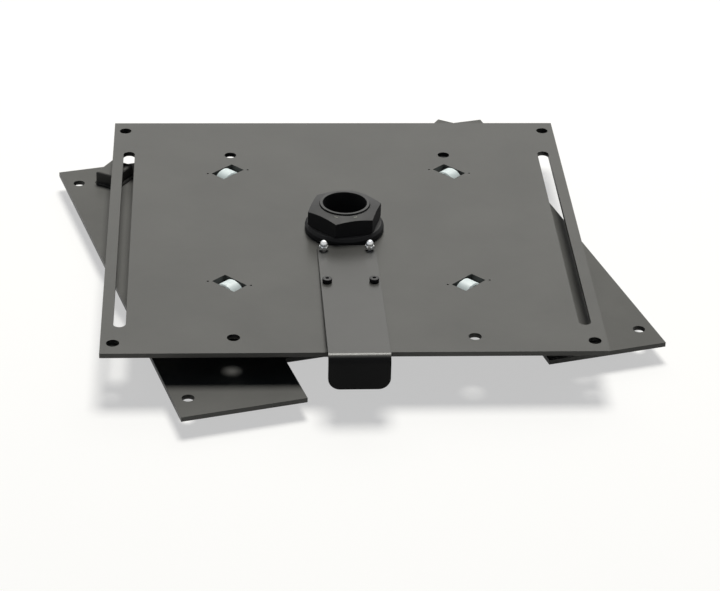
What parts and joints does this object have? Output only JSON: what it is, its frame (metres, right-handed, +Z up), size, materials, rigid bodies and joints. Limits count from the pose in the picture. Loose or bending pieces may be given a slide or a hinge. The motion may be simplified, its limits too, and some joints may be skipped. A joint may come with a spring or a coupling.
{
  "type": "swivel seat base",
  "caption": "Flat swivel for a camper van seat: a slotted top plate turns on rollers and a pipe pivot over an H-shaped base plate, with a front release lever.",
  "frame": {"origin": "on the pivot's axis, at the underside of the flange that the object stands on", "axes": "+Z up along the pivot, -Y towards the release lever's lip, X across the top plate as it stands"},
  "size_m": [0.5032, 0.5174, 0.0651],
  "materials": {
    "powder_coat": "satin dark grey powder coat",
    "black_steel": "blackened, half gloss",
    "zinc_steel": "bright zinc plate",
    "nylon": "smooth white nylon",
    "bronze": "plain sintered bronze"
  },
  "bodies": {
    "base": {"base_plate": "powder_coat", "base_block_left": "powder_coat", "base_block_right": "powder_coat", "pivot_tube": "black_steel", "pivot_flange": "powder_coat", "thrust_washer": "black_steel", "pivot_nut": "black_steel"},
    "turntable": {"top_plate": "powder_coat", "pivot_bush": "bronze", "seat_weld_nuts": "powder_coat", "lever_studs": "zinc_steel", "lever_cap_nuts": "zinc_steel", "roller_bracket_rear_right": "powder_coat", "roller_bracket_rear_left": "powder_coat", "roller_bracket_front_left": "powder_coat", "roller_bracket_front_right": "powder_coat", "roller_axle_rear_right": "black_steel", "roller_axle_rear_left": "black_steel", "roller_axle_front_left": "black_steel", "roller_axle_front_right": "black_steel"},
    "lever": {"release_lever": "powder_coat", "locking_pins": "zinc_steel", "lever_screws": "black_steel"},
    "roller_rear_right": {"roller_rear_right": "nylon"},
    "roller_rear_left": {"roller_rear_left": "nylon"},
    "roller_front_left": {"roller_front_left": "nylon"},
    "roller_front_right": {"roller_front_right": "nylon"}
  },
  "joints": [
    {"name": "swivel", "type": "hinge", "parent": "base", "child": "turntable", "pos_m": [0, 0, 0.038], "axis": [0, 0, 1], "continuous": true},
    {"name": "roller_spin_rear_right", "type": "hinge", "parent": "turntable", "child": "roller_rear_right", "pos_m": [0.098, 0.106, 0.02845], "axis": [0.7071, 0.7071, 0], "continuous": true},
    {"name": "roller_spin_rear_left", "type": "hinge", "parent": "turntable", "child": "roller_rear_left", "pos_m": [-0.098, 0.106, 0.02845], "axis": [-0.7071, 0.7071, 0], "continuous": true},
    {"name": "roller_spin_front_left", "type": "hinge", "parent": "turntable", "child": "roller_front_left", "pos_m": [-0.098, -0.093, 0.02845], "axis": [-0.7071, -0.7071, 0], "continuous": true},
    {"name": "roller_spin_front_right", "type": "hinge", "parent": "turntable", "child": "roller_front_right", "pos_m": [0.098, -0.093, 0.02845], "axis": [0.7071, -0.7071, 0], "continuous": true},
    {"name": "lever_lift", "type": "hinge", "parent": "turntable", "child": "lever", "pos_m": [0, -0.035, 0.0401], "axis": [-1, -0.0087, 0], "range_deg": [0, 4]}
  ],
  "couplings": [
    {"joint": "roller_spin_rear_right", "follows": "swivel", "ratio": -11.872},
    {"joint": "roller_spin_rear_left", "follows": "swivel", "ratio": -11.872},
    {"joint": "roller_spin_front_left", "follows": "swivel", "ratio": -11.116},
    {"joint": "roller_spin_front_right", "follows": "swivel", "ratio": -11.116}
  ]
}
